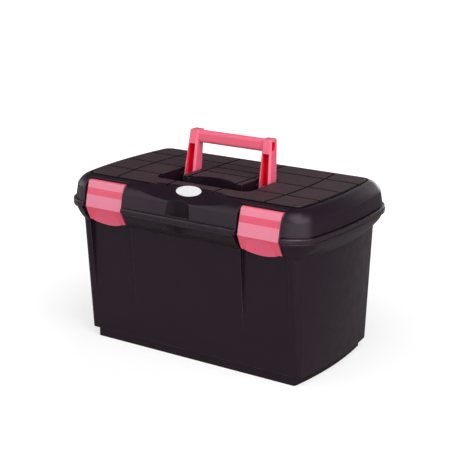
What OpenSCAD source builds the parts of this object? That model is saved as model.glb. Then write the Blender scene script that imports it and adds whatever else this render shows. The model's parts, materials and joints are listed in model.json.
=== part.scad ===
/* [Tub] */
// Length over the rim flange, end to end
box_length = 396; // [376:1:416]
// Depth over the rim flange, front to back
box_depth = 237.2; // [228:0.2:246]
// Height of the line where the lid meets the tub
rim_height = 196; // [182:1:212]
// Thickness of the moulded walls
wall = 2.5; // [2:0.1:3]
// Thickness of the tub floor
floor_thick = 3; // [2:0.5:5]
// How far the foot of the end walls lies inside the rim flange, at mid end
foot_end_in = 23; // [18:0.5:28]
// How far the foot of the front and back walls lies inside the rim flange
foot_side_in = 30.2; // [26:0.2:34]
// Outward bow of the end walls at their foot
foot_bow = 7; // [5:0.2:12]
// Corner radius at the foot of the walls
foot_corner = 5; // [4.5:0.5:12]
// How far the neck under the collar lies inside the rim flange, at mid end
neck_end_in = 12.7; // [10:0.1:15]
// How far the neck lies inside the rim flange at the front and back
neck_side_in = 17.9; // [17.6:0.1:20]
// Outward bow of the end walls at the neck
neck_bow = 15.5; // [10:0.5:20]
// Corner radius at the neck
neck_corner = 13.5; // [9:0.5:20]
// Height of the plinth that steps in at the foot
plinth_height = 11.5; // [8:0.5:16]
// Height of the slope from the plinth out to the walls
plinth_slope = 1.5; // [1:0.1:3]
// How far the plinth steps in under the end walls
plinth_end_step = 8; // [4:0.5:9]
// How far the plinth steps in under the front and back walls
plinth_side_step = 3; // [1.5:0.1:4]

/* [Rim] */
// Height of the flared collar between neck and rim, rim bead included
collar_height = 23.5; // [19:0.5:26]
// Height of the rounded bead on the tub's rim
rim_bead = 3.8; // [3.4:0.1:6]
// How far the rim bead stands out of the collar
bead_reach = 2.5; // [1.5:0.1:3]
// Rounding on both sides of the line where the lid meets the tub
parting_round = 0.8; // [0.4:0.1:1.2]
// Outward bow of the rim's ends
rim_bow = 12; // [7:0.5:15]
// Corner radius of the rim
rim_corner = 43.5; // [34:0.5:48]

/* [Lid] */
// Height of the lid from the rim to its flat top
lid_height = 40.5; // [38:0.5:46]
// Height of the flange round the foot of the lid
lid_flange = 6.2; // [5:0.2:8]
// How far the flange stands out of the lid's wall
flange_reach = 3.5; // [2.5:0.1:4.5]
// Rounding of the flange's upper edge
flange_round = 1; // [0.6:0.1:1.5]
// Height of the reveal groove between flange and wall
reveal_height = 1.8; // [1.2:0.1:2.6]
// Depth of the reveal groove in the wall
reveal_depth = 1.5; // [1:0.1:2]
// Height over the rim at which the wall turns into the shoulder
shoulder_start = 25; // [22:0.5:27]
// How far the wall leans in below the shoulder
wall_lean = 2.5; // [1:0.1:3.5]
// Lean of the shoulder where it leaves the wall, in degrees
shoulder_lean = 25; // [15:1:45]
// How far the ends of the tiled top panel lie inside the flange, at mid end
panel_end_in = 27; // [22:0.5:32]
// Distance of the panel's front edge behind the front of the flange
panel_front = 30.6; // [28:0.2:34]
// Distance of the panel's back edge before the back of the flange
panel_back = 30; // [27:0.2:38]
// Outward bow of the panel's ends
panel_bow = 6.5; // [4:0.5:10]
// Corner radius of the panel
panel_corner = 12; // [10:1:24]
// How far the tiles stand above the shoulder
panel_rise = 1.2; // [0.8:0.1:1.8]
// Width of the grooves between the tiles
groove_width = 2.4; // [1.5:0.1:3]
// Depth of the grooves between the tiles
groove_depth = 2; // [1.2:0.1:2.4]
// Spacing of the grooves that run along the lid
groove_pitch = 49.4; // [46:0.1:52]
// Distance of the middle groove behind the middle of the lid
groove_back = 1.8; // [0:0.1:4]
// Distance of the inner bowed grooves from the middle
inner_groove = 38.2; // [34:0.2:42]
// Length of the tiles at the ends of the panel
end_tile = 48.5; // [42:0.5:56]
// Radius of the outer bowed grooves
groove_radius = 540; // [400:10:700]
// Radius of the inner bowed grooves
inner_radius = 1600; // [1000:50:2400]

/* [Front of lid] */
// Radius of the broad scallop over the front pads
scallop_radius = 575; // [500:5:650]
// Slope of the scallop, up towards the panel, in degrees
scallop_slope = 24; // [21:0.5:27]
// Distance of the scallop's low front edge behind the flange
scallop_front = 8.9; // [8:0.1:11]
// Drop of the scallop's low front edge below the lid's top
scallop_drop = 13.3; // [12:0.1:15]
// Width of the finger scoop in the middle of the front
scoop_width = 39.2; // [32:0.2:46]
// Depth of the finger scoop
scoop_depth = 8; // [5:0.5:9]
// Length of the oval badge
badge_length = 37.7; // [30:0.1:42]
// Width of the oval badge
badge_width = 21.3; // [16:0.1:23]
// Thickness of the badge
badge_thick = 1.4; // [1:0.1:2]
// Depth of the badge's seat in the slope
badge_seat = 0.9; // [0.5:0.1:1.2]
// Distance of the badge's middle up the slope
badge_along = 22.8; // [21:0.1:24]

/* [Latches] */
// Width of each latch
latch_width = 59.2; // [52:0.2:62]
// How far the middle of each latch lies inside the end of the flange
latch_end_in = 76.4; // [72:0.2:82]
// Thickness of the latch plate
latch_thick = 3; // [2.4:0.1:3.4]
// Gap between a latch and the cheeks of its pocket
latch_gap = 2.5; // [1.5:0.1:3]
// Distance of the latch pin behind the front of the flange
latch_pin_in = 16.2; // [15.6:0.1:17]
// Depth of the latch pin below the lid's top
latch_pin_drop = 10.6; // [9.5:0.1:11.5]
// Radius of the round top of the latch about its pin
latch_knuckle = 5; // [4.4:0.1:5.2]
// Distance of the brow between the upper bands behind the flange
brow_in = 9.4; // [8.4:0.1:10]
// Depth of the brow below the lid's top
brow_drop = 15.5; // [14.5:0.1:16.5]
// Distance of the line between the lower bands behind the flange
band_in = 7; // [6:0.1:7.6]
// Depth of that line below the lid's top
band_drop = 24.4; // [22.5:0.1:26]
// Distance of the latch's crease, level with the rim, behind the flange
crease_in = 3.4; // [2.4:0.1:3.8]
// Length of the latch below the rim, at its corners
latch_tail = 19.6; // [17:0.2:21]
// How far the tail leans back over that length
tail_lean = 9; // [8:0.1:10]
// Drop of the curved lower edge in the middle of the latch
latch_lip = 5.8; // [4:0.1:7]
// Straight part of the lower edge at each end
lip_end = 4; // [2:0.5:8]
// Width of the thumb hollow in the tail
thumb_width = 42; // [36:0.5:46]
// Depth of the thumb hollow
thumb_depth = 1.4; // [1:0.1:1.6]
// Distance of the thumb hollow's middle below the crease
thumb_drop = 21.5; // [20.5:0.1:24]
// Distance of the catch on the tub behind the flange
catch_in = 17.5; // [17:0.1:18.5]
// Depth of the catch's lower edge below the rim
catch_drop = 12; // [11:0.1:13]
// Radius of the snap nib inside the latch
nib_radius = 2.4; // [2:0.1:2.8]
// Distance of the nib's ends from the sides of the latch
nib_end = 8; // [5:0.5:14]
// Distance of the pocket's back edge behind the pin
pocket_back = 4; // [2:0.1:5]
// Free room behind the latch in its pocket
pocket_room = 2.2; // [1.8:0.1:2.6]
// Distance of the pocket's foot behind the flange
pocket_foot_in = 10.5; // [9.5:0.1:11]
// Width of the bosses that hold the ends of the latch pin
latch_boss = 6; // [5:0.5:8]
// Distance of the back of the lid's latch housing behind the flange
housing_in = 22.5; // [21:0.1:24]
// Height of the foot of the latch housing
housing_height = 12; // [9:0.5:14]
// How much wider than a latch its finger bay is, on each side
bay_side = 5; // [4:0.1:6.4]
// Depth of the finger bay at the neck
bay_depth = 5.3; // [4:0.1:6]
// Height above the floor at which the finger bay fades out
bay_foot = 50; // [40:1:80]

/* [Handle] */
// Height of the handle above its pivot
handle_height = 63.7; // [60:0.1:66]
// Depth of the pivot below the lid's top
pivot_drop = 10; // [9.5:0.1:12]
// Distance of the pivot behind the middle of the lid
pivot_back = 2.8; // [1:0.1:5]
// Width of the handle across its top
handle_top_width = 130.4; // [124:0.2:138]
// Width of each leg along its top
leg_width = 13.8; // [13:0.1:16]
// How far each leg splays out down to its pivot
leg_splay = 4.4; // [3:0.1:6]
// Front to back size of a leg at its pivot
leg_depth = 17.7; // [16:0.1:19]
// Front to back size of a leg along its top
head_depth = 13.8; // [13:0.1:15]
// Distance of the back of the head behind the pivot
head_lean = 16.1; // [15:0.1:17]
// Height of the solid head at the top of each leg
head_height = 18.7; // [17.6:0.1:20]
// Chamfer of the handle's upper corners
head_chamfer = 1.2; // [0.8:0.1:2]
// Chamfer down both front edges of a leg
leg_chamfer = 2; // [1.4:0.1:2.4]
// Thickness of the leg's flanges beside its channel
leg_flange = 2.8; // [2.5:0.1:3.2]
// Thickness of the leg's web behind its channel
leg_web = 2.6; // [2.2:0.1:3.2]
// Height of the grip bar's section
grip_height = 17.6; // [14:0.1:18]
// Front to back size of the grip bar's section
grip_depth = 9.4; // [8:0.1:10]
// Distance of the grip's middle before the back of the head
grip_forward = 8.2; // [7.6:0.1:8.8]
// Distance of the grip's middle below the handle's top
grip_drop = 8.9; // [8.8:0.1:9.2]
// Length of the grip's tenon in each head
tenon_length = 8; // [6:0.5:10]
// How far the tenon is smaller than the grip, all round
tenon_step = 1.5; // [1.2:0.1:2]
// Radius of the round foot of the slot in each head, behind which the tenon ends
slot_radius = 3.8; // [3:0.1:4]
// Length of the slot above its round foot
slot_length = 8.4; // [6:0.1:8.6]
// Distance of the slot's foot before the grip's middle
slot_forward = 1.6; // [0.8:0.1:1.8]
// Distance of the slot's foot below the grip's middle
slot_drop = 3; // [2:0.1:3.4]
// Depth of the recess that the handle folds into
trough_depth = 30; // [28:0.5:32]
// Front corner radius of the recess
trough_corner = 12; // [8:0.5:14]
// Gap between the folded handle and the front of the recess
fold_gap = 1.8; // [0.8:0.1:2.4]
// Gap between a leg and the outer side of the recess
leg_gap = 5; // [4:0.1:6]
// Gap between a leg and the block in the middle of the recess
block_gap = 4.2; // [3:0.1:5]
// Distance from the front of the recess back to the middle block
finger_room = 27.9; // [25:0.1:32]
// Depth of the hollow in the front of the middle block
block_hollow = 15; // [10:0.5:18]
// Width of the block's front that stands at each side of the hollow
hollow_edge = 8; // [5:0.5:12]

/* [Hinges and pins] */
// Radius of the steel pins
pin_radius = 2; // [1.5:0.1:2.4]
// Radius of the bosses that carry the handle's pins
boss_radius = 5.5; // [4.6:0.1:6]
// Length of the pins' seat in the bosses
boss_seat = 4; // [3:0.1:5]
// How far the middle of each hinge lies inside the end of the flange
hinge_end_in = 103; // [88:1:118]
// Width of the lid's hinge knuckle
lid_knuckle = 26; // [20:1:32]
// Width of each of the tub's hinge knuckles
tub_knuckle = 12; // [9:0.5:16]
// Radius of the hinge knuckles
hinge_knuckle = 5.5; // [4.6:0.1:5.8]
// Distance of the hinge axis behind the rim flange
hinge_back = 6.6; // [6.4:0.1:8]
// Height of the hinge axis above the rim
hinge_rise = 1; // [0.5:0.1:1.5]
// Height of the web that carries the tub's hinge knuckles
hinge_web = 6.7; // [5:0.1:9]

/* [Tray] */
// Depth of the ledges that carry the tray, below the rim
ledge_drop = 33; // [31:0.5:44]
// Width of the ledges, front to back
ledge_width = 110; // [90:1:130]
// How far the ledges reach out of the end walls
ledge_reach = 20; // [16:0.5:24]
// Thickness of the ledges along their edge
ledge_thick = 3; // [2:0.5:5]
// Depth of the ledges' sloping brackets
ledge_bracket = 26; // [18:0.5:30]
// Depth of the tray below its rim
tray_depth = 42; // [30:1:60]
// How far the ends of the tray's basin lie inside the rim flange
tray_end_in = 42; // [38:0.5:48]
// How far the sides of the tray's basin lie inside the rim flange
tray_side_in = 32.6; // [30:0.2:38]
// Outward bow of the tray's ends
tray_bow = 3; // [1:0.5:6]
// Corner radius of the tray
tray_corner = 16; // [10:1:22]
// How far the tray narrows down to its floor
tray_draft = 5; // [2:0.5:8]
// Thickness of the tray's walls
tray_wall = 2; // [1.5:0.1:2.5]
// How far the tray's end flanges reach over the ledges
tray_flange = 14; // [12:0.5:18]
// Width of the tray's end flanges
flange_width = 96; // [70:1:104]
// Thickness of the tray's end flanges
flange_thick = 3; // [2:0.5:4]
// Place of the tray's cross divider, right of the middle
divider_place = 50; // [20:1:90]
// How far the cross divider stays below the tray's rim
divider_drop = 6; // [3:0.5:12]
// Height of the tray's carrying grip above its rim
tray_grip = 24; // [22:0.5:26]
// Length of the carrying grip along its top
tray_grip_length = 120; // [100:1:140]
// How far the grip spreads at its foot, on each side
tray_grip_spread = 20; // [10:1:30]
// Width of the frame round the grip's finger slot
grip_frame = 7; // [5:0.5:9]

/* [Hidden] */
charcoal = "#2f2a2c";
pink = "#e8607f";
steel = "#b9bcc0";
$fn = 48;
// Segments in a rounded corner, along a bowed end, up the shoulder and up the collar
corner_steps = 9;
end_steps = 12;
shoulder_steps = 7;
collar_steps = 4;
// Segments of the broad curves
broad = 180;
// Clearances: a pin held in its bore, a part that turns on a pin, a snap nib before its catch,
// the tenon in its socket, the badge in its seat, turning parts side by side, and the ends of a pin
held_fit = 0.02;
running_fit = 0.06;
snap_gap = 0.4;
socket_gap = 0.15;
badge_gap = 0.2;
side_gap = 0.6;
hinge_gap = 0.4;
knuckle_gap = 0.5;
leaf_gap = 0.3;
pin_end_gap = 0.2;
// Overshoot of a cut, and a length beyond every wall
cut = 1;
far = 40;
// Height of a sharp step in a loft
step = 0.1;

rim_x = box_length / 2;
rim_y = box_depth / 2;
front_y = -rim_y;
lid_top = rim_height + lid_height;
shell_top = lid_top - panel_rise;
collar_z = rim_height - collar_height;
flange_top = rim_height + lid_flange;
reveal_top = flange_top + reveal_height;
bead_low = rim_height - rim_bead;

// A station of a loft is [height, half length, half depth, end bow, corner radius, shift back]
foot = [plinth_height + plinth_slope, rim_x - foot_end_in, rim_y - foot_side_in, foot_bow, foot_corner, 0];
plinth = [0, foot[1] - plinth_end_step, foot[2] - plinth_side_step, foot_bow, foot_corner - plinth_slope, 0];
neck = [collar_z, rim_x - neck_end_in, rim_y - neck_side_in, neck_bow, neck_corner, 0];
collar_top = [bead_low, rim_x - bead_reach, rim_y - bead_reach, rim_bow, rim_corner, 0];
rim_edge = [rim_height, rim_x, rim_y, rim_bow, rim_corner, 0];
lid_foot = [reveal_top, rim_x - flange_reach, rim_y - flange_reach, rim_bow, rim_corner - flange_reach, 0];
lid_wall_top = [rim_height + shoulder_start, lid_foot[1] - wall_lean, lid_foot[2] - wall_lean,
    rim_bow, lid_foot[4] - wall_lean, 0];
panel_edge = [shell_top, rim_x - panel_end_in, rim_y - (panel_front + panel_back) / 2,
    panel_bow, panel_corner, (panel_front - panel_back) / 2];

function mix(a, b, t) = a + (b - a) * t;
function at_height(s, z) = [z, s[1], s[2], s[3], s[4], s[5]];
function inset(s, d) = [s[0], s[1] - d, s[2] - d, s[3], max(s[4] - d, 2), s[5]];

// The part of a quarter turn that is left after the shoulder's first lean, from wall a to edge b
function shoulder(a, b, t) = let(
        turn = mix(shoulder_lean, 90, t),
        along = 1 - cos(turn) / cos(shoulder_lean),
        up = (sin(turn) - sin(shoulder_lean)) / (1 - sin(shoulder_lean)))
    [mix(a[0], b[0], up), for (i = [1:5]) mix(a[i], b[i], along)];

// The flare of the collar, a little fuller than a straight cone from a to b
function flare(a, b, t) = let(fuller = t + 0.1 * sin(180 * t))
    [mix(a[0], b[0], t), for (i = [1:5]) mix(a[i], b[i], fuller)];

// Radius of an arc with a given half width and height
function arc_radius(half, height) = (half * half + height * height) / (2 * height);

// Right half of the plan at a station: front corner, bowed end, back corner
function half_plan(s) = let(
        end_r = arc_radius(s[2], s[3]),
        end_x = s[1] - end_r,
        side = s[2] - s[4],
        turn = asin(side / (end_r - s[4])),
        corner_x = end_x + (end_r - s[4]) * cos(turn))
    concat(
        [for (i = [0:corner_steps]) let(a = mix(-90, -turn, i / corner_steps))
            [corner_x + s[4] * cos(a), s[4] * sin(a) - side + s[5]]],
        [for (i = [1:end_steps - 1]) let(a = mix(-turn, turn, i / end_steps))
            [end_x + end_r * cos(a), end_r * sin(a) + s[5]]],
        [for (i = [0:corner_steps]) let(a = mix(turn, 90, i / corner_steps))
            [corner_x + s[4] * cos(a), s[4] * sin(a) + side + s[5]]]);

function plan(s) = let(h = half_plan(s), n = len(h))
    concat(h, [for (i = [n - 1:-1:0]) [-h[i][0], h[i][1]]]);

// A closed skin through rings of points, from the lowest to the highest
module skin(rings) {
    n = len(rings[0]);
    last = len(rings) - 1;
    walls = [for (k = [0:last - 1]) for (j = [0:n - 1]) let(
            a = k * n + j,
            b = k * n + (j + 1) % n)
        each [[a, a + n, b + n], [a, b + n, b]]];
    low_cap = [for (j = [0:n - 1]) j];
    high_cap = [for (j = [n - 1:-1:0]) last * n + j];
    polyhedron([for (ring = rings) each ring], concat(walls, [low_cap], [high_cap]));
}

// A skin through the plans of its stations
module loft(stations) {
    skin([for (s = stations) [for (p = plan(s)) [p[0], p[1], s[0]]]]);
}

// A profile given as [y, z], carried along X between two places
module along_x(x0, x1) {
    translate([x0, 0, 0]) rotate([90, 0, 90]) linear_extrude(x1 - x0) children();
}

// A profile given as [x, z], carried along Y over the whole part
module along_y() {
    translate([0, rim_y + far, 0]) rotate([90, 0, 0]) linear_extrude(box_depth + 2 * far) children();
}

module rod_x(x0, x1, y, z, r) {
    translate([x0, y, z]) rotate([0, 90, 0]) cylinder(r = r, h = x1 - x0);
}

// A rectangle with one radius on its low corners and another on its high corners
module soft_rect(x0, x1, y0, y1, low_r, high_r) {
    half = (y1 - y0) / 2;
    translate([x0, y0 + low_r]) square([x1 - x0, 2 * half - low_r - high_r]);
    translate([x0 + low_r, y0]) square([x1 - x0 - 2 * low_r, half]);
    translate([x0 + high_r, y0 + half]) square([x1 - x0 - 2 * high_r, half]);
    for (x = [x0 + low_r, x1 - low_r]) translate([x, y0 + low_r]) circle(low_r);
    for (x = [x0 + high_r, x1 - high_r]) translate([x, y1 - high_r]) circle(high_r);
}

module both_sides() {
    children();
    mirror([1, 0, 0]) children();
}

tub_skin = concat(
    [plinth, at_height(plinth, plinth_height), foot],
    [for (i = [0:collar_steps]) flare(neck, collar_top, i / collar_steps)],
    [at_height(inset(rim_edge, parting_round / 2), bead_low + parting_round),
        at_height(rim_edge, rim_height - parting_round - step), inset(rim_edge, parting_round)]);

inner_foot = inset(plinth, wall);
inner_neck = at_height(inset(neck, wall), collar_z + wall / 2);
inner_collar = at_height(inset(collar_top, 1.4 * wall), bead_low + wall);
tub_hollow = concat(
    [at_height(inner_foot, floor_thick), at_height(inner_foot, plinth_height + cut),
        at_height(inset(foot, wall), foot[0] + wall + cut)],
    [for (i = [0:collar_steps]) flare(inner_neck, inner_collar, i / collar_steps)],
    [at_height(inner_collar, rim_height + cut)]);

reveal = inset(lid_foot, reveal_depth);
lid_skin = concat(
    [inset(rim_edge, parting_round), at_height(rim_edge, rim_height + parting_round + step),
        at_height(rim_edge, flange_top - flange_round), at_height(inset(rim_edge, flange_round), flange_top),
        at_height(reveal, flange_top + step), at_height(reveal, reveal_top - step), lid_foot],
    [for (i = [0:shoulder_steps]) shoulder(lid_wall_top, panel_edge, i / shoulder_steps)]);

inner_panel = at_height(inset(panel_edge, wall / 2), shell_top - wall);
inner_reveal = inset(reveal, wall);
lid_hollow = concat(
    [at_height(inner_reveal, rim_height - cut), at_height(inner_reveal, reveal_top + wall / 2),
        at_height(inset(lid_foot, wall), reveal_top + wall / 2 + reveal_depth)],
    [for (i = [0:shoulder_steps]) shoulder(inset(lid_wall_top, wall), inner_panel, i / shoulder_steps)]);

// Latch: pin, outer profile, thumb hollow, and the catch on the tub that its nib snaps over
latch_x = rim_x - latch_end_in;
latch_y = front_y + latch_pin_in;
latch_z = lid_top - latch_pin_drop;
latch_x0 = latch_x - latch_width / 2;
latch_x1 = latch_x + latch_width / 2;
brow = [front_y + brow_in, lid_top - brow_drop];
band = [front_y + band_in, lid_top - band_drop];
crease = [front_y + crease_in, rim_height];
tail_down = [tail_lean, -latch_tail] / norm([tail_lean, latch_tail]);
tail_out = [tail_down[1], -tail_down[0]];
tail_end = crease + [tail_lean, -latch_tail] * (latch_tail + latch_lip) / latch_tail;
latch_outer = [[latch_y - 0.4 * latch_knuckle, latch_z + 0.9 * latch_knuckle], brow, band, crease, tail_end];
thumb_radius = arc_radius(thumb_width / 2, thumb_depth);
thumb = crease + tail_down * thumb_drop + tail_out * (thumb_radius - thumb_depth);
catch_y = front_y + catch_in;
catch_low = rim_height - catch_drop;
pocket_half = latch_width / 2 + latch_gap;
pocket_brow_y = brow[0] + latch_thick + pocket_room;
pocket_band_y = band[0] + latch_thick + pocket_room;
pin_half = pocket_half + boss_seat;

function front_wall_y(z) = -mix(foot[2], neck[2], (z - foot[0]) / (neck[0] - foot[0]));
bay_back = front_wall_y(collar_z) + bay_depth;
bay_half = latch_width / 2 + bay_side;

// Handle: pivot, legs, grip, and the recess with its block
pivot_z = lid_top - pivot_drop;
handle_top = pivot_z + handle_height;
head_z = handle_top - head_height;
head_back = pivot_back + head_lean;
head_x = handle_top_width / 2;
foot_x = head_x + leg_splay;
hand_x = head_x - leg_width;
leg_low = pivot_z - leg_depth / 2;
leg_lean = atan2(head_lean - head_depth / 2, handle_height);
grip_y = head_back - grip_forward;
grip_z = handle_top - grip_drop;
trough_floor = lid_top - trough_depth;
trough_front = pivot_back - norm([head_lean, handle_height]) - fold_gap;
trough_rear = pivot_back + leg_depth / 2 + fold_gap;
trough_x = foot_x + leg_gap;
block_x = hand_x - block_gap;
block_front = trough_front + finger_room;
hollow_radius = arc_radius(block_x - hollow_edge, block_hollow);
pin_x0 = block_x - wall - boss_seat;
pin_x1 = trough_x + wall + boss_seat;

// Hinges
hinge_x = rim_x - hinge_end_in;
hinge_y = rim_y + hinge_back;
hinge_z = rim_height + hinge_rise;
hinge_half = lid_knuckle / 2 + hinge_gap + tub_knuckle;
web_y = rim_y - bead_reach - cut;

// Front of the lid
scallop_y = front_y + scallop_front;
scallop_z = lid_top - scallop_drop;
scoop_radius = arc_radius(scoop_width / 2, scoop_depth);

// Tray
ledge_z = rim_height - ledge_drop;
tray_x = rim_x - tray_end_in;
tray_y = rim_y - tray_side_in;
tray_rim = ledge_z + flange_thick;
tray_low = tray_rim - tray_depth;
ledge_x = tray_x + tray_flange - ledge_thick * 2;

// Finger bay below a latch, up to the catch, grown backwards by a wall for its backing
module bay(grow) {
    low = bay_foot - 4 * grow;
    high = rim_height + cut + far * grow;
    along_x(latch_x - bay_half - grow, latch_x + bay_half + grow)
        polygon([[front_wall_y(bay_foot) - snap_gap + grow, low], [bay_back + grow, collar_z],
            [bay_back + grow, catch_low - grow], [catch_y + grow, catch_low - grow],
            [catch_y + grow, high], [front_y - far, high], [front_y - far, low]]);
}

// Upright finger scoop in the middle of the front, at one level
module scoop(inward, grow, z0, z1) {
    translate([0, front_y + inward + scoop_depth - scoop_radius, z0])
        cylinder(r = scoop_radius + grow, h = z1 - z0, $fn = broad / 2);
}

// Ledge on an end wall that carries the tray, with a sloping underside
module tray_ledge() {
    outer_x = ledge_x + ledge_reach;
    translate([0, ledge_width / 2, 0]) rotate([90, 0, 0]) linear_extrude(ledge_width)
        polygon([[ledge_x, ledge_z], [ledge_x, ledge_z - ledge_thick], [outer_x, ledge_z - ledge_bracket],
            [outer_x + far, ledge_z - ledge_bracket], [outer_x + far, ledge_z]]);
}

// Hinge knuckle with the web that carries it on a rim, between two places along X
module knuckle(x0, x1, web_low, web_high) {
    rod_x(x0, x1, hinge_y, hinge_z, hinge_knuckle);
    translate([x0, web_y, web_low]) cube([x1 - x0, hinge_y - web_y, web_high - web_low]);
}

module tub() {
    color(charcoal) difference() {
        union() {
            difference() {
                loft(tub_skin);
                difference() {
                    loft(tub_hollow);
                    both_sides() bay(wall);
                    both_sides() tray_ledge();
                    scoop(bead_reach, wall, collar_z - wall, bead_low + wall);
                }
                both_sides() bay(0);
                scoop(bead_reach, 0, collar_z - cut, bead_low - step);
            }
            both_sides() for (side = [-1, 1]) {
                x = hinge_x + side * (lid_knuckle / 2 + hinge_gap + tub_knuckle / 2);
                knuckle(x - tub_knuckle / 2, x + tub_knuckle / 2,
                    rim_height - hinge_web, rim_height - leaf_gap);
            }
        }
        both_sides() rod_x(hinge_x - hinge_half - cut, hinge_x + hinge_half + cut,
            hinge_y, hinge_z, pin_radius + held_fit);
    }
}

// Broad scallop: a large cylinder lying up the slope, its lowest line over the pads
module scallop(grow) {
    translate([0, scallop_y, scallop_z]) rotate([scallop_slope, 0, 0])
        translate([0, -far, scallop_radius]) rotate([-90, 0, 0])
            cylinder(r = scallop_radius + grow, h = 2 * far, $fn = broad);
}

// Recess for the handle: a U round the middle block, whose front is hollowed for the fingers
module trough_outline(grow) {
    difference() {
        soft_rect(-trough_x - grow, trough_x + grow, trough_front - grow, trough_rear + grow,
            trough_corner + grow, leg_gap + grow);
        difference() {
            translate([grow - block_x, block_front + grow])
                square([2 * (block_x - grow), trough_rear - block_front + far]);
            translate([0, block_front + block_hollow - hollow_radius])
                circle(hollow_radius + grow, $fn = broad / 2);
        }
    }
}

// Pocket in the lid's front for a latch, open below and over the pin
module pocket_profile(grow) {
    low = rim_height - cut - far * grow;
    back = latch_y + pocket_back + grow;
    translate([latch_y, latch_z]) circle(latch_knuckle + knuckle_gap + grow);
    polygon([[back, lid_top + far], [back, latch_z], [pocket_brow_y + grow, brow[1] - latch_thick],
        [pocket_band_y + grow, band[1]], [front_y + pocket_foot_in + grow, low],
        [front_y - far, low], [front_y - far, lid_top + far]]);
}

module latch_pocket() {
    along_x(latch_x - pocket_half, latch_x + pocket_half) pocket_profile(0);
}

// Solid behind the pocket, which closes the lid over the tub's catch and holds the pin's ends
module latch_housing() {
    half = pocket_half + latch_boss;
    along_x(latch_x - half, latch_x + half) {
        pocket_profile(wall);
        translate([front_y - far, rim_height - far]) square([far + housing_in, far + housing_height]);
    }
}

module handle_bosses() {
    both_sides() {
        rod_x(pin_x0, hand_x - side_gap, pivot_back, pivot_z, boss_radius);
        rod_x(foot_x + side_gap, pin_x1, pivot_back, pivot_z, boss_radius);
    }
}

// Straight grooves along the lid, with one more in the middle column, and bowed ones across it
module panel_grooves() {
    half = groove_width / 2;
    high = groove_depth + cut;
    translate([0, groove_back - half, lid_top - groove_depth]) {
        for (i = [-1:1]) translate([-rim_x, i * groove_pitch, 0]) cube([box_length, groove_width, high]);
        translate([-inner_groove, groove_pitch / 2, 0]) cube([2 * inner_groove, groove_width, high]);
    }
    both_sides() for (bow = [[inner_groove, inner_radius], [panel_edge[1] - end_tile, groove_radius]])
        translate([bow[0] - bow[1], 0, lid_top - groove_depth]) difference() {
            cylinder(r = bow[1] + half, h = high, $fn = broad);
            translate([0, 0, -cut]) cylinder(r = bow[1] - half, h = high + 2 * cut, $fn = broad);
        }
}

// Oval on the scallop's slope, from the seat's floor upwards
module badge_oval(grow, height) {
    length = badge_length + 2 * grow;
    translate([0, scallop_y, scallop_z]) rotate([scallop_slope, 0, 0])
        translate([0, badge_along, -badge_seat]) scale([1, (badge_width + 2 * grow) / length, 1])
            cylinder(d = length, h = height, $fn = broad / 2);
}

module lid_hollow_space() {
    difference() {
        loft(lid_hollow);
        translate([0, 0, trough_floor - wall]) linear_extrude(far + trough_depth) trough_outline(wall);
        both_sides() latch_housing();
        intersection() {
            scallop(wall);
            translate([-latch_x, front_y, rim_height]) cube([2 * latch_x, far + scallop_front, lid_height]);
        }
        scoop(flange_reach, wall, rim_height - cut, lid_top);
    }
}

module lid() {
    color(charcoal) difference() {
        union() {
            difference() {
                union() {
                    loft(lid_skin);
                    loft([at_height(panel_edge, shell_top - panel_rise / 2),
                        at_height(inset(panel_edge, panel_rise / 2), lid_top)]);
                }
                lid_hollow_space();
                scallop(0);
                scoop(flange_reach, 0, reveal_top, lid_top);
                translate([0, 0, trough_floor]) linear_extrude(trough_depth + cut) trough_outline(0);
                both_sides() latch_pocket();
                panel_grooves();
                badge_oval(badge_gap, badge_seat + scallop_drop);
            }
            handle_bosses();
            both_sides() knuckle(hinge_x - lid_knuckle / 2, hinge_x + lid_knuckle / 2,
                rim_height + leaf_gap, flange_top - flange_round);
        }
        both_sides() {
            rod_x(hinge_x - lid_knuckle, hinge_x + lid_knuckle, hinge_y, hinge_z, pin_radius + running_fit);
            rod_x(latch_x - pin_half, latch_x + pin_half, latch_y, latch_z, pin_radius + held_fit);
            rod_x(pin_x0 - cut, pin_x1 + cut, pivot_back, pivot_z, pin_radius + held_fit);
        }
    }
}

module badge() {
    color("white") badge_oval(0, badge_thick);
}

module latch() {
    inner = [for (i = [len(latch_outer) - 1:-1:1]) latch_outer[i] + latch_thick * [1.1, -0.27]];
    lip_z = rim_height - latch_tail;
    lip_radius = arc_radius(latch_width / 2 - lip_end, latch_lip);
    nib_y = catch_y - snap_gap - nib_radius;
    nib_z = catch_low - nib_radius - 4 * snap_gap;
    color(pink) difference() {
        union() {
            intersection() {
                along_x(latch_x0, latch_x1)
                    polygon(concat(latch_outer, inner, [[latch_y + cut, latch_z - 0.9 * latch_knuckle]]));
                along_y() {
                    translate([latch_x0 - cut, lip_z])
                        square([latch_width + 2 * cut, lid_height + latch_tail]);
                    translate([latch_x, lip_z - latch_lip + lip_radius]) circle(lip_radius, $fn = broad / 2);
                }
            }
            rod_x(latch_x0, latch_x1, latch_y, latch_z, latch_knuckle);
            // Snap nib, a rounded bar on the inner face below the catch
            along_x(latch_x0 + nib_end, latch_x1 - nib_end) {
                translate([nib_y, nib_z]) circle(nib_radius);
                translate([nib_y - nib_radius, nib_z - nib_radius]) square([nib_radius, 2 * nib_radius]);
            }
        }
        rod_x(latch_x0 - cut, latch_x1 + cut, latch_y, latch_z, pin_radius + running_fit);
        translate([latch_x, thumb[0], thumb[1]]) sphere(thumb_radius, $fn = broad);
    }
}

module right_latch() { latch(); }
module left_latch() { mirror([1, 0, 0]) latch(); }

module latch_pin() {
    half = pin_half - pin_end_gap;
    color(steel) rod_x(latch_x - half, latch_x + half, latch_y, latch_z, pin_radius);
}

module right_latch_pin() { latch_pin(); }
module left_latch_pin() { mirror([1, 0, 0]) latch_pin(); }

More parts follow.
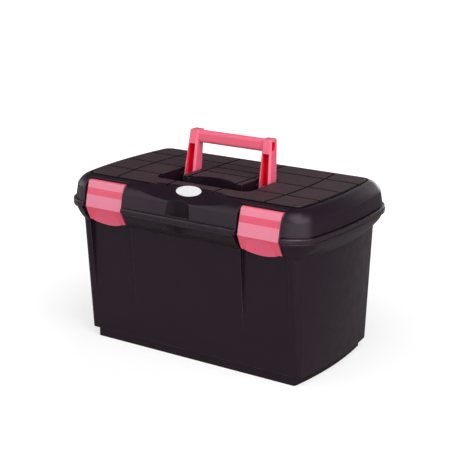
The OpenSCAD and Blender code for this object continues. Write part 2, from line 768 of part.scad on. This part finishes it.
// Section of the grip bar, shrunk for its tenon, as [y, z]
module grip_profile(shrink) {
    r = grip_depth / 2 - shrink;
    half = (grip_height - grip_depth) / 2;
    for (s = [-1, 1]) translate([grip_y, grip_z + s * half]) circle(r);
    translate([grip_y - r, grip_z - half]) square([2 * r, 2 * half]);
}

// Heights and outer sides of a leg, from its foot to its top
leg_levels = [[leg_low - cut, foot_x], [pivot_z, foot_x], [handle_top - head_chamfer, head_x],
    [handle_top, head_x - head_chamfer]];
function leg_up(z) = (z - pivot_z) / handle_height;
function leg_front(z) = mix(pivot_back - leg_depth / 2, head_back - head_depth, leg_up(z));
function leg_back(z) = mix(pivot_back + leg_depth / 2, head_back, leg_up(z));

// Plan of a leg with chamfered front edges, open-ended at the back
function leg_ring(z, x) = let(y = leg_front(z), c = leg_chamfer) [[hand_x + c, y, z], [x - c, y, z],
    [x, y + c, z], [x, head_back + far, z], [hand_x, head_back + far, z], [hand_x, y + c, z]];

module handle_leg() {
    color(pink) difference() {
        intersection() {
            skin([for (level = leg_levels) leg_ring(level[0], level[1])]);
            along_x(hand_x - cut, foot_x + cut) {
                translate([pivot_back, pivot_z]) circle(leg_depth / 2);
                polygon([[leg_front(pivot_z) - cut, pivot_z], [leg_back(pivot_z), pivot_z],
                    [leg_back(handle_top + cut), handle_top + cut], [leg_front(pivot_z) - cut, handle_top + cut]]);
            }
        }
        // Channel open to the front, from the foot up to the head
        intersection() {
            along_y() polygon([[hand_x + leg_flange, leg_low - cut], [foot_x - leg_flange, leg_low - cut],
                [foot_x - leg_flange, pivot_z], [mix(foot_x, head_x, leg_up(head_z)) - leg_flange, head_z],
                [hand_x + leg_flange, head_z]]);
            along_x(hand_x, foot_x) polygon([[front_y, leg_low - cut],
                [leg_back(leg_low - cut) - leg_web, leg_low - cut],
                [leg_back(head_z) - leg_web, head_z], [front_y, head_z]]);
        }
        // Socket for the grip's tenon, and the slot in the outer side that shows its end
        along_x(hand_x - cut, hand_x + tenon_length + socket_gap) grip_profile(tenon_step - socket_gap);
        along_x(hand_x + tenon_length, foot_x + cut)
            translate([grip_y - slot_forward, grip_z - slot_drop]) rotate(-leg_lean) {
                circle(slot_radius);
                translate([-slot_radius, 0]) square([2 * slot_radius, slot_length]);
            }
        rod_x(hand_x - cut, foot_x + cut, pivot_back, pivot_z, pin_radius + running_fit);
    }
}

module right_handle_leg() { handle_leg(); }
module left_handle_leg() { mirror([1, 0, 0]) handle_leg(); }

module handle_grip() {
    color(pink) {
        along_x(-hand_x, hand_x) grip_profile(0);
        along_x(-hand_x - tenon_length, hand_x + tenon_length) grip_profile(tenon_step);
    }
}

module handle_pin() {
    color(steel) rod_x(pin_x0 + pin_end_gap, pin_x1 - pin_end_gap, pivot_back, pivot_z, pin_radius);
}

module right_handle_pin() { handle_pin(); }
module left_handle_pin() { mirror([1, 0, 0]) handle_pin(); }

module hinge_pin() {
    color(steel) rod_x(hinge_x - hinge_half, hinge_x + hinge_half, hinge_y, hinge_z, pin_radius);
}

module right_hinge_pin() { hinge_pin(); }
module left_hinge_pin() { mirror([1, 0, 0]) hinge_pin(); }

module lift_out_tray() {
    basin = [tray_rim, tray_x, tray_y, tray_bow, tray_corner, 0];
    bottom = at_height(inset(basin, tray_draft), tray_low);
    grip_top = tray_rim + tray_grip;
    grip_half = tray_grip_length / 2;
    grip_foot = grip_half + tray_grip_spread;
    color("#3a3537") {
        difference() {
            loft([bottom, basin]);
            difference() {
                loft([at_height(inset(bottom, tray_wall), tray_low + tray_wall),
                    at_height(inset(basin, tray_wall), tray_rim + cut)]);
                translate([-rim_x, -tray_wall / 2, tray_low])
                    cube([box_length, tray_wall, tray_depth + 2 * cut]);
                translate([divider_place, 0, tray_low]) cube([tray_wall, tray_y, tray_depth - divider_drop]);
            }
        }
        // End flanges that rest on the tub's ledges
        both_sides() translate([tray_x - tray_wall, -flange_width / 2, ledge_z])
            cube([tray_flange + tray_wall, flange_width, flange_thick]);
        // Carrying grip on the middle divider, with a slot for the fingers
        translate([0, tray_wall / 2, 0]) rotate([90, 0, 0]) linear_extrude(tray_wall) difference() {
            polygon([[-grip_foot, tray_rim - divider_drop], [grip_foot, tray_rim - divider_drop],
                [grip_foot, tray_rim], [grip_half, grip_top],
                [-grip_half, grip_top], [-grip_foot, tray_rim]]);
            soft_rect(grip_frame - grip_half, grip_half - grip_frame, tray_rim, grip_top - grip_frame,
                grip_frame, grip_frame);
        }
    }
}

tub();
lid();
badge();
left_latch();
right_latch();
left_latch_pin();
right_latch_pin();
left_handle_leg();
right_handle_leg();
handle_grip();
left_handle_pin();
right_handle_pin();
left_hinge_pin();
right_hinge_pin();
lift_out_tray();
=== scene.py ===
import json
import math

import bmesh
import bpy
import numpy as np
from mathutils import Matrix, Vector


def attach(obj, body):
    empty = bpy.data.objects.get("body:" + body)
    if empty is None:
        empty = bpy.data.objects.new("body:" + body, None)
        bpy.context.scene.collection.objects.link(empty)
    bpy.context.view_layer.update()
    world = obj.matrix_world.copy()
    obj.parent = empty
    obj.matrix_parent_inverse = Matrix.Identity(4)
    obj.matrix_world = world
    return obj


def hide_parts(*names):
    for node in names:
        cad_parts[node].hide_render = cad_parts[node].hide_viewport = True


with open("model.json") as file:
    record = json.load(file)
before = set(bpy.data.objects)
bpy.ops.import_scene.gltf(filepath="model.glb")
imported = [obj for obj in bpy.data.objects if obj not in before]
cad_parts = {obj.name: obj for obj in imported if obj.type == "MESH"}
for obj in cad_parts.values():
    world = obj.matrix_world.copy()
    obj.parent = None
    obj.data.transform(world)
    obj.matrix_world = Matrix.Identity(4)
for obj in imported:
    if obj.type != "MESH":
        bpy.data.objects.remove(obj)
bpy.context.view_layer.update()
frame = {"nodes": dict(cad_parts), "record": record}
mm = 0.001         # in m
metre = 1000.0     # in mm
white = (1.0, 1.0, 1.0, 1.0)


def addObject(name, data):
    thing = bpy.data.objects.new(name, data)
    bpy.context.scene.collection.objects.link(thing)
    return thing


def aim(thing, place, target):
    # stands a camera or a lamp at its place and points it at the target, both in m
    thing.location = place
    thing.rotation_euler = (Vector(target) - Vector(place)).to_track_quat("-Z", "Y").to_euler()


# The photo's view; the image is square
cameraSettings = {
    "place": (894.9, -1321.6, 629.7),     # mm
    "target": (0.0, 5.8, 157.7),          # mm
    "lens": 96.14,                        # mm
    "sensor": 36.0,                       # mm
}


def addCamera(settings):
    data = bpy.data.cameras.new("photo_camera")
    data.lens = settings["lens"]
    data.sensor_width = settings["sensor"]
    camera = addObject("photo_camera", data)
    aim(camera, Vector(settings["place"]) * mm, Vector(settings["target"]) * mm)
    bpy.context.scene.camera = camera


addCamera(cameraSettings)
print("camera placed")


def linear(hexColour):
    # sRGB hex to linear RGBA
    channels = [int(hexColour[i:i + 2], 16) / 255 for i in (1, 3, 5)]
    return [c / 12.92 if c <= 0.04045 else ((c + 0.055) / 1.055) ** 2.4 for c in channels] + [1.0]


def addNode(tree, kind, settings=None, links=None):
    # settings go to attributes or, by name or number, to input sockets; links join outputs to inputs
    node = tree.nodes.new(kind)
    for key, value in (settings or {}).items():
        if isinstance(key, str) and hasattr(node, key):
            setattr(node, key, value)
        else:
            node.inputs[key].default_value = value
    for key, source in (links or {}).items():
        tree.links.new(source, node.inputs[key])
    return node


mixBy, mixFrom, mixTo, mixOut = 0, 6, 7, 2     # sockets of a mix node that works on colours


def newMaterial(name):
    material = bpy.data.materials.new(name)
    material.use_nodes = True
    material.node_tree.nodes.clear()
    return material, material.node_tree


# A pale floor that is white to the camera, a room that is bright low down and dim overhead, and soft lamps
stageSettings = {
    "floorSize": 12.0,                  # m
    "floorColour": "#a3a1a1",
    "floorGlow": (0.67, 1.0),           # lifts the floor to white for the camera: by the box, far from it
    "glowReach": (0.2, 0.75),           # m
    "roomLevel": (0.28, 0.06),          # low down, overhead
    "roomTurn": (0.24, 0.45),           # height of the way out, as a sine, over which the room dims
    "lampTarget": (0.0, 0.0, 0.15),     # m
    "lamps": [
        # name, place in m, width and height in m, watts
        ("top_softbox", (0.55, -0.65, 1.95), (1.0, 1.0), 14.0),
        ("left_softbox", (-1.24, -1.38, 0.95), (2.0, 2.2), 17.0),
        ("right_softbox", (1.60, -0.75, 1.14), (2.0, 2.2), 39.0),
        ("low_fill", (0.6, -1.6, 0.14), (1.2, 0.25), 4.0),
        ("back_fill", (-0.2, 2.2, 0.42), (1.1, 0.8), 10.0),
        ("side_fill", (-2.25, -0.2, 0.65), (1.0, 1.1), 8.0),
    ],
}


def addFloor(settings):
    # Painted board: matt, so it takes a soft shadow and throws light up at the box
    half = settings["floorSize"] / 2
    corners = [(-half, -half, 0), (half, -half, 0), (half, half, 0), (-half, half, 0)]
    mesh = bpy.data.meshes.new("studio_floor")
    mesh.from_pydata(corners, [], [(0, 1, 2, 3)])
    floor = addObject("studio_floor", mesh)
    material, tree = newMaterial("painted_floor")
    paint = addNode(tree, "ShaderNodeBsdfDiffuse", {"Color": linear(settings["floorColour"])}).outputs[0]
    place = addNode(tree, "ShaderNodeTexCoord").outputs["Object"]
    away = addNode(tree, "ShaderNodeVectorMath", {"operation": "LENGTH"}, {0: place}).outputs["Value"]
    near, far = settings["glowReach"]
    low, high = settings["floorGlow"]
    lift = addNode(tree, "ShaderNodeMapRange",
                   {"From Min": near, "From Max": far, "To Min": low, "To Max": high},
                   {"Value": away}).outputs[0]
    glow = addNode(tree, "ShaderNodeEmission", {"Color": white}, {"Strength": lift}).outputs[0]
    lifted = addNode(tree, "ShaderNodeAddShader", None, {0: paint, 1: glow}).outputs[0]
    seen = addNode(tree, "ShaderNodeLightPath").outputs["Is Camera Ray"]
    mix = addNode(tree, "ShaderNodeMixShader", None, {0: seen, 1: paint, 2: lifted}).outputs[0]
    addNode(tree, "ShaderNodeOutputMaterial", None, {"Surface": mix})
    mesh.materials.append(material)


def addRoom(settings):
    # the plastic mirrors a grey room, and the camera sees plain white behind the box
    world = bpy.data.worlds.new("studio")
    bpy.context.scene.world = world
    world.use_nodes = True
    tree = world.node_tree
    tree.nodes.clear()
    way = addNode(tree, "ShaderNodeTexCoord").outputs["Generated"]
    up = addNode(tree, "ShaderNodeSeparateXYZ", None, {0: way}).outputs["Z"]
    start, end = settings["roomTurn"]
    low, high = settings["roomLevel"]
    level = addNode(tree, "ShaderNodeMapRange",
                    {"From Min": start, "From Max": end, "To Min": low, "To Max": high},
                    {"Value": up}).outputs[0]
    room = addNode(tree, "ShaderNodeBackground", {"Color": white}, {"Strength": level}).outputs[0]
    backdrop = addNode(tree, "ShaderNodeBackground", {"Color": white, "Strength": 1.0}).outputs[0]
    seen = addNode(tree, "ShaderNodeLightPath").outputs["Is Camera Ray"]
    mix = addNode(tree, "ShaderNodeMixShader", None, {0: seen, 1: room, 2: backdrop}).outputs[0]
    addNode(tree, "ShaderNodeOutputWorld", None, {"Surface": mix})


def addLamps(settings):
    for name, place, size, watts in settings["lamps"]:
        data = bpy.data.lights.new(name, "AREA")
        data.shape = "RECTANGLE"
        data.size, data.size_y = size
        data.energy = watts
        lamp = addObject(name, data)
        lamp.visible_camera = False
        aim(lamp, place, settings["lampTarget"])


addFloor(stageSettings)
addRoom(stageSettings)
addLamps(stageSettings)
bpy.context.scene.view_settings.view_transform = "Standard"
print("stage lit")

# What all the moulded finishes share
mouldSettings = {
    "ior": 1.49,                          # polypropylene
    "hollowSamples": 8,
    "edgeSamples": 6,
    "edgeTurn": (0.985, 0.8),             # cosine of the turn where the painted edge tone starts and where it is full
    "patchTurn": (0.36, 0.6),             # levels of the patch noise between which the painted edge tone comes in
    "patchWear": (0.4, 1.0),              # share of the painted edge tone off the patches and on them
    "roughTurn": (0.3, 0.7),              # levels of the patch noise between which the roughness rises
    "grainDepth": 0.1,                    # share of the grain's width
    "scatterMm": 4.0,
    "scatterColour": (1.0, 0.2, 0.3),     # red light goes deepest
}


def mouldedPlastic(name, look):
    # Injection-moulded polypropylene: satin, with a fine spark-eroded grain, slightly cloudy in tone, with
    # painted shade in its hollows and a painted edge tone, mostly a highlight, in patches along its edges
    look = {**mouldSettings, **look}
    material, tree = newMaterial(name)
    place = addNode(tree, "ShaderNodeTexCoord").outputs["Object"]
    cloud = addNode(tree, "ShaderNodeTexNoise",
                    {"Scale": metre / look["cloudMm"], "Detail": 4.0, "Roughness": 0.6},
                    {"Vector": place}).outputs["Fac"]
    tone = addNode(tree, "ShaderNodeMix",
                   {"data_type": "RGBA", mixFrom: linear(look["deep"]), mixTo: linear(look["light"])},
                   {mixBy: cloud}).outputs[mixOut]
    # painted shade in hollows: how much of the near surroundings the surface itself closes off
    openness = addNode(tree, "ShaderNodeAmbientOcclusion",
                       {"samples": look["hollowSamples"], "only_local": True,
                        "Distance": look["hollowMm"] * mm}).outputs["AO"]
    shut, free = look["hollowRange"]
    hollow = addNode(tree, "ShaderNodeMapRange",
                     {"From Min": free, "From Max": shut, "To Min": 0.0, "To Max": 1.0},
                     {"Value": openness}).outputs[0]
    # painted edge tone: where the softened normal turns from the true one, in patches, and not in hollows
    softened = addNode(tree, "ShaderNodeBevel",
                       {"samples": look["edgeSamples"], "Radius": look["paintedEdgeMm"] * mm}).outputs[0]
    trueNormal = addNode(tree, "ShaderNodeNewGeometry").outputs["Normal"]
    cosine = addNode(tree, "ShaderNodeVectorMath", {"operation": "DOT_PRODUCT"},
                     {0: softened, 1: trueNormal}).outputs["Value"]
    start, full = look["edgeTurn"]
    edge = addNode(tree, "ShaderNodeMapRange",
                   {"From Min": start, "From Max": full, "To Min": 0.0, "To Max": look["paintedEdgeShare"]},
                   {"Value": cosine}).outputs[0]
    patch = addNode(tree, "ShaderNodeTexNoise", {"Scale": metre / look["patchMm"], "Detail": 6.0},
                    {"Vector": place}).outputs["Fac"]
    low, high = look["patchTurn"]
    least, most = look["patchWear"]
    patchy = addNode(tree, "ShaderNodeMapRange",
                     {"From Min": low, "From Max": high, "To Min": least, "To Max": most},
                     {"Value": patch}).outputs[0]
    outside = addNode(tree, "ShaderNodeMath", {"operation": "SUBTRACT", 0: 1.0, "use_clamp": True},
                      {1: hollow}).outputs[0]
    patchyEdge = addNode(tree, "ShaderNodeMath", {"operation": "MULTIPLY"}, {0: edge, 1: patchy}).outputs[0]
    paintedEdgeShare = addNode(tree, "ShaderNodeMath", {"operation": "MULTIPLY"}, {0: patchyEdge, 1: outside}).outputs[0]
    # painted shade laid into the hollows, then the painted edge tone over it
    sunk = addNode(tree, "ShaderNodeMix", {"data_type": "RGBA", mixTo: linear(look["hollow"])},
                   {mixBy: hollow, mixFrom: tone}).outputs[mixOut]
    colour = addNode(tree, "ShaderNodeMix", {"data_type": "RGBA", mixTo: linear(look["paintedEdgeTone"])},
                     {mixBy: paintedEdgeShare, mixFrom: sunk}).outputs[mixOut]
    # grain; the real one is about 0.15 mm and is drawn coarser so that it shows
    grain = addNode(tree, "ShaderNodeTexNoise",
                    {"Scale": metre / look["grainMm"], "Detail": 3.0, "Roughness": 0.55},
                    {"Vector": place}).outputs["Fac"]
    low, high = look["roughTurn"]
    smoothest, roughest = look["rough"]
    rough = addNode(tree, "ShaderNodeMapRange",
                    {"From Min": low, "From Max": high, "To Min": smoothest, "To Max": roughest},
                    {"Value": patch}).outputs[0]
    rounded = addNode(tree, "ShaderNodeBevel",
                      {"samples": look["edgeSamples"], "Radius": look["roundMm"] * mm}).outputs[0]
    bump = addNode(tree, "ShaderNodeBump",
                   {"Strength": look["grain"], "Distance": look["grainMm"] * look["grainDepth"] * mm},
                   {"Height": grain, "Normal": rounded}).outputs[0]
    shader = addNode(tree, "ShaderNodeBsdfPrincipled",
                     {"IOR": look["ior"], "Specular IOR Level": look["specular"],
                      "Specular Tint": linear(look["tint"]),
                      "Subsurface Weight": look["glow"], "Subsurface Radius": look["scatterColour"],
                      "Subsurface Scale": look["scatterMm"] * mm},
                     {"Base Color": colour, "Roughness": rough, "Normal": bump})
    addNode(tree, "ShaderNodeOutputMaterial", None, {"Surface": shader.outputs[0]})
    return material


# Tones: deep and light in the cloud, with painted shade in hollows and a painted edge tone, mostly a
# highlight, laid over it. The painted shade is full at the first openness of its range and starts at the
# second, and glow is the share of light that scatters inside
charcoalLook = {
    "deep": "#1b0f1a", "light": "#20131e", "cloudMm": 60,
    # painted near-black shade for hollows, then a pale painted edge highlight
    "hollow": "#060406", "hollowMm": 4.0, "hollowRange": (0.35, 0.75),
    "paintedEdgeTone": "#85757f", "paintedEdgeShare": 0.25, "paintedEdgeMm": 1.5, "patchMm": 14,
    "grain": 0.14, "grainMm": 0.9, "roundMm": 0.7,
    "rough": (0.32, 0.42), "specular": 0.36, "tint": "#fff2fb", "glow": 0.0,
}
pinkLook = {
    "deep": "#e95d79", "light": "#ed6882", "cloudMm": 45,
    # painted deep red shade for hollows, as of light bounced inside the pink, then a paler painted edge
    # highlight
    "hollow": "#ee0028", "hollowMm": 14.0, "hollowRange": (0.5, 0.85),
    "paintedEdgeTone": "#f7a9b8", "paintedEdgeShare": 0.6, "paintedEdgeMm": 1.3, "patchMm": 9,
    "grain": 0.12, "grainMm": 0.9, "roundMm": 0.6,
    "rough": (0.34, 0.42), "specular": 0.5, "tint": "#ffffff", "glow": 0.15,
}
badgeLook = {
    "deep": "#e2e2e4", "light": "#e9e9eb", "cloudMm": 12,
    # painted grey shade for hollows, then a painted grey edge tone
    "hollow": "#b8b8ba", "hollowMm": 2.0, "hollowRange": (0.3, 0.9),
    "paintedEdgeTone": "#cfcfd1", "paintedEdgeShare": 0.3, "paintedEdgeMm": 0.8, "patchMm": 4,
    "grain": 0.03, "grainMm": 0.7, "roundMm": 0.5,
    "rough": (0.22, 0.3), "specular": 0.5, "tint": "#ffffff", "glow": 0.0,
}
mouldedLooks = {
    "charcoal_polypropylene": charcoalLook,
    # tile tops, more matt and paler, the paler tone partly a painted sheen, with edges painted dark as shade
    "charcoal_polypropylene_tile": dict(charcoalLook, deep="#38292e", light="#413136", paintedEdgeTone="#0f0a0d",
                                        paintedEdgeShare=0.9, paintedEdgeMm=1.8, rough=(0.55, 0.65), specular=0.2),
    # painted shade: grooves and the sides of the finger bays, matt and painted nearly black
    "charcoal_polypropylene_groove": dict(charcoalLook, deep="#080507", light="#0b070a", paintedEdgeShare=0.0,
                                          rough=(0.6, 0.7), specular=0.08),
    # painted shade: the finger scoop, painted a little deeper in tone
    "charcoal_polypropylene_scoop": dict(charcoalLook, deep="#120a11", light="#160d14", paintedEdgeShare=0.1,
                                         rough=(0.4, 0.5), specular=0.22),
    # the flange of the lid: glossier, with a stronger painted edge highlight
    "charcoal_polypropylene_rim": dict(charcoalLook, paintedEdgeShare=0.45, rough=(0.26, 0.34), specular=0.6),
    # the bands of a latch, light and deep in turn: painted highlight and painted shade
    "pink_polypropylene_crest": dict(pinkLook, deep="#db768d", light="#df8097", hollowMm=3.0,
                                     hollowRange=(0.3, 0.6), rough=(0.3, 0.38)),
    "pink_polypropylene_valley": dict(pinkLook, deep="#d84765", light="#dc516e"),
    # the tail of a latch, painted brighter and redder as light from below
    "pink_polypropylene_tail": dict(pinkLook, deep="#f85675", light="#fc617f"),
    # the thumb hollow in the tail, painted lighter as a highlight
    "pink_polypropylene_thumb_hollow": dict(pinkLook, deep="#fe6081", light="#ff6e8c", rough=(0.28, 0.36)),
    "pink_polypropylene": pinkLook,
    "tray_polypropylene": dict(charcoalLook, deep="#2a2527", light="#312b2e", rough=(0.58, 0.68)),
    "white_badge": badgeLook,     # glossy and almost without grain
}
steelLook = {
    "dark": "#8f9296", "light": "#c2c4c7",
    "lineMm": 0.5,                   # real draw lines are about 0.05 mm apart and wouldn't show
    "stretch": (0.02, 1.0, 1.0),     # the rods lie along x
    "rough": (0.22, 0.38),
    "bump": 0.15, "depthMm": 0.05,
}


def drawnSteel(name, look):
    # Drawn steel rod: bright, with fine draw lines along its length
    material, tree = newMaterial(name)
    place = addNode(tree, "ShaderNodeTexCoord").outputs["Object"]
    along = addNode(tree, "ShaderNodeMapping", {"Scale": look["stretch"]}, {"Vector": place}).outputs[0]
    lines = addNode(tree, "ShaderNodeTexNoise", {"Scale": metre / look["lineMm"], "Detail": 3.0},
                    {"Vector": along}).outputs["Fac"]
    tone = addNode(tree, "ShaderNodeMix",
                   {"data_type": "RGBA", mixFrom: linear(look["dark"]), mixTo: linear(look["light"])},
                   {mixBy: lines}).outputs[mixOut]
    smoothest, roughest = look["rough"]
    rough = addNode(tree, "ShaderNodeMapRange", {"To Min": smoothest, "To Max": roughest},
                    {"Value": lines}).outputs[0]
    bump = addNode(tree, "ShaderNodeBump", {"Strength": look["bump"], "Distance": look["depthMm"] * mm},
                   {"Height": lines}).outputs[0]
    shader = addNode(tree, "ShaderNodeBsdfPrincipled", {"Metallic": 1.0},
                     {"Base Color": tone, "Roughness": rough, "Normal": bump})
    addNode(tree, "ShaderNodeOutputMaterial", None, {"Surface": shader.outputs[0]})
    return material


materialByName = {name: mouldedPlastic(name, look) for name, look in mouldedLooks.items()}
materialByName["steel_pin"] = drawnSteel("steel_pin", steelLook)
print("finishes mixed")

# How the CAD meshes are merged and smoothed
meshSettings = {
    "mergeMm": 0.02,      # points this near each other are one
    "flatSteps": 200,     # steps in a normal's parts that tell two flats apart
    "flatMm": 0.1,        # and in a flat's distance from the origin
    "tiny": 1e-15,        # stands in for a length of nothing
}


def read(collection, name, width, kind=np.float64):
    values = np.empty(len(collection) * width, kind)
    collection.foreach_get(name, values)
    return values.reshape(-1, width) if width > 1 else values


def mouldedCopy(node, material, settings):
    # the node's mesh with its points merged; its CAD normals are kept as cad_normal
    mesh = frame["nodes"][node].data.copy()
    given = read(mesh.corner_normals, "vector", 3, np.float32)
    mesh.attributes.new("cad_normal", "FLOAT_VECTOR", "CORNER").data.foreach_set("vector", given.ravel())
    shape = bmesh.new()
    shape.from_mesh(mesh)
    bmesh.ops.remove_doubles(shape, verts=shape.verts, dist=settings["mergeMm"] * mm)
    shape.to_mesh(mesh)
    shape.free()
    mesh.materials.clear()
    mesh.materials.append(material)
    mesh.polygons.foreach_set("use_smooth", np.ones(len(mesh.polygons), bool))
    return mesh


def evenNormals(mesh, turn, settings):
    # Each corner's normal is the mean of the CAD normals round its vertex that lie within the turn, each
    # weighed by its corner angle times the area of the flat that its face belongs to
    tiny = settings["tiny"]
    given = read(mesh.attributes["cad_normal"].data, "vector", 3)
    vertex = read(mesh.loops, "vertex_index", 1, np.int32)
    corner = read(mesh.vertices, "co", 3)[vertex].reshape(-1, 3, 3)
    ahead, behind = np.roll(corner, -1, 1) - corner, np.roll(corner, 1, 1) - corner
    reach = np.linalg.norm(ahead, axis=2) * np.linalg.norm(behind, axis=2)
    angle = np.arccos(np.clip((ahead * behind).sum(2) / np.maximum(reach, tiny), -1, 1))
    across = np.cross(ahead[:, 0], behind[:, 0])
    area = np.linalg.norm(across, axis=1)
    facing = across / np.maximum(area, tiny)[:, None]
    distance = (facing * corner[:, 0]).sum(1) / (settings["flatMm"] * mm)
    plane = np.c_[np.round(facing * settings["flatSteps"]), np.round(distance)]
    flat = np.unique(plane, axis=0, return_inverse=True)[1].ravel()
    weight = (angle * np.bincount(flat, area)[flat][:, None]).ravel()
    # every pair of corners that share a vertex
    order = np.argsort(vertex, kind="stable")
    count = np.bincount(vertex)[vertex[order]]
    start = np.searchsorted(vertex[order], vertex[order])
    first = np.repeat(order, count)
    step = np.arange(len(first)) - np.repeat(np.cumsum(count) - count, count)
    second = order[np.repeat(start, count) + step]
    near = (given[first] * given[second]).sum(1) > math.cos(math.radians(turn))
    first, second = first[near], second[near]
    pull = given[second] * weight[second, None]
    total = np.stack([np.bincount(first, pull[:, axis], len(vertex)) for axis in range(3)], 1)
    length = np.maximum(np.linalg.norm(total, axis=1), tiny)
    mesh.normals_split_custom_set(total / length[:, None])
    mesh.attributes.remove(mesh.attributes["cad_normal"])


def dressFaces(mesh, slot, names, chosen):
    # a face takes the finish, or the painted light or shade, that is chosen for it by name, or else keeps
    # the piece's own
    index = np.zeros(len(mesh.polygons), np.int32)
    for number, name in enumerate(names, 1):
        mesh.materials.append(materialByName[slot + "_" + name])
        index[chosen == name] = number
    mesh.polygons.foreach_set("material_index", index)


# The upright finger scoop at the front of lid and tub
scoopSettings = {
    "radius": 28.0,     # mm
    "margin": 0.8,      # mm
    "upright": 0.1,     # the z part of a wall's normal is less
}


def scoopFaces(centre, normal, axis, foot):
    # by the distance from the scoop's axis, above its foot
    away = np.hypot(centre[:, 0], centre[:, 1] - axis)
    wall = np.abs(normal[:, 2]) < scoopSettings["upright"]
    return (np.abs(away - scoopSettings["radius"]) < scoopSettings["margin"]) & wall & (centre[:, 2] > foot)


lidSettings = {
    "turn": 18,              # degrees, edges that turn less are smoothed
    "finishesAndPaintedLight": ("tile", "groove", "scoop", "rim"),
    "tileRim": 0.3,          # mm below the top of the lid, as are the next two
    "grooveDepth": 2.1,
    "flange": 33.0,
    "upright": 0.2,          # the z part of a groove wall's normal is less
    "level": 0.98,           # the z part of a groove floor's normal is more
    "scoopAxis": -135.1,     # mm, y
    "scoopFoot": 204.0,      # mm, z
}


def lidFaces(centre, normal, settings):
    # tile tops, with a painted sheen, the walls and floors of the grooves between them and the scoop, with
    # painted shade, and the flange
    below = centre[:, 2].max() - centre[:, 2]
    wall = np.abs(normal[:, 2]) < settings["upright"]
    floor = normal[:, 2] > settings["level"]
    top = below < settings["tileRim"]
    sunk = (below < settings["grooveDepth"]) & (wall | floor)
    flange = below > settings["flange"]
    scoop = scoopFaces(centre, normal, settings["scoopAxis"], settings["scoopFoot"])
    return np.select([top, sunk, flange, scoop], ["tile", "groove", "rim", "scoop"], "")


tubSettings = {
    "turn": 20,                     # degrees
    "finishesAndPaintedLight": ("groove", "scoop"),
    "bayAcross": (88.0, 156.0),     # mm from the middle
    "bayUp": (40.0, 190.0),         # mm, z
    "bayFront": -85.0,              # mm, y
    "sideways": 0.9,                # the x part of a bay side's normal is more
    "scoopAxis": -136.1,            # mm, y
    "scoopFoot": 172.5,             # mm, z
}


def tubFaces(centre, normal, settings):
    # upright sides of the finger bays, and the scoop, both given painted shade
    across, height = np.abs(centre[:, 0]), centre[:, 2]
    near, far = settings["bayAcross"]
    low, high = settings["bayUp"]
    bay = (across > near) & (across < far) & (centre[:, 1] < settings["bayFront"])
    side = bay & (height > low) & (height < high) & (np.abs(normal[:, 0]) > settings["sideways"])
    scoop = scoopFaces(centre, normal, settings["scoopAxis"], settings["scoopFoot"])
    return np.select([side, scoop], ["groove", "scoop"], "")


latchSettings = {
    "turn": 4,                                         # degrees
    "finishesAndPaintedLight": ("crest", "valley", "tail", "thumb_hollow"),
    "bands": ("tail", "crest", "valley", "crest"),     # from below
    "bandHeights": (196.0, 212.1, 221.0),              # mm, where one band ends and the next starts
    "thumbMiddle": (121.6, -106.2, 176.5),             # mm, on the right latch
    "thumbReach": 21.0,                                # mm
    "facing": 0.5,                                     # least part of a normal that points a face that way
    "brow": (-109.2, 221.0),                           # mm, y and z of the upper band's lower edge
    "knuckle": 5.0,                                    # mm, radius
    "fill": 1.5,                                       # mm, how far the upper band may come out
    "slack": 0.05,                                     # mm
}


def fillBand(mesh, pin, settings):
    # The upper band of a latch is flat from the brow to where it touches the round knuckle on the pin: what
    # lies just behind that tangent comes out to it, in the plane of the y and z axes
    brow = np.array(settings["brow"])
    reach = pin - brow
    span = np.linalg.norm(reach)
    rise = math.atan2(reach[1], reach[0]) + math.asin(settings["knuckle"] / span)
    along = np.array((math.cos(rise), math.sin(rise)))
    out = np.array((-math.sin(rise), math.cos(rise)))
    end = math.sqrt(span ** 2 - settings["knuckle"] ** 2)
    spots = read(mesh.vertices, "co", 3)
    run = (spots[:, 1:] / mm - brow) @ along
    depth = (brow - spots[:, 1:] / mm) @ out
    within = (run > -settings["slack"]) & (run < end + settings["slack"])
    band = within & (np.abs(depth) < settings["fill"])
    spots[band, 1:] += depth[band, None] * out * mm
    mesh.vertices.foreach_set("co", spots.ravel())
    # faces wholly in the band take its normal, apart from the sides of the latch
    given = read(mesh.attributes["cad_normal"].data, "vector", 3)
    inside = band[read(mesh.loops, "vertex_index", 1, np.int32)].reshape(-1, 3).all(1)
    front = inside & (np.abs(given[::3, 0]) < settings["facing"])
    given[np.repeat(front, 3)] = (0, *out)
    mesh.attributes["cad_normal"].data.foreach_set("vector", given.astype(np.float32).ravel())


def latchFaces(centre, normal, settings):
    # bands of the front face and the thumb hollow in the tail, painted lighter or darker as highlight and
    # shade
    band = np.array(settings["bands"])[np.searchsorted(settings["bandHeights"], centre[:, 2])]
    fromMiddle = np.c_[np.abs(centre[:, 0]), centre[:, 1:]] - settings["thumbMiddle"]
    thumb = (band == "tail") & (np.linalg.norm(fromMiddle, axis=1) < settings["thumbReach"])
    front = normal[:, 1] < -settings["facing"]
    return np.where(front, np.where(thumb, "thumb_hollow", band), "")


plainSettings = {"turn": 22}     # degrees, for every other piece
dressing = {
    "lid": (lidSettings, lidFaces),
    "tub": (tubSettings, tubFaces),
    "left_latch": (latchSettings, latchFaces),
    "right_latch": (latchSettings, latchFaces),
}
behaviour = frame["record"]["behaviour"]
owner = {node: body for body, nodes in behaviour["bodies"].items() for node in nodes}
pivot = {joint["name"]: np.array(joint["pos_m"]) / mm for joint in behaviour["joints"]}
for part in frame["record"]["subparts"]:
    node = part["node"]
    slot = part["material_slot"]
    settings, choose = dressing.get(node, (plainSettings, None))
    mesh = mouldedCopy(node, materialByName[slot], meshSettings)
    if node.endswith("_latch"):
        fillBand(mesh, pivot[node + "_pivot"][1:], settings)
    evenNormals(mesh, settings["turn"], meshSettings)
    if choose:
        centre = read(mesh.polygons, "center", 3) / mm
        normal = read(mesh.polygons, "normal", 3)
        dressFaces(mesh, slot, settings["finishesAndPaintedLight"], choose(centre, normal, settings))
    piece = addObject(node + "_skin", mesh)
    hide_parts(node)
    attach(piece, owner[node])
print("pieces dressed")
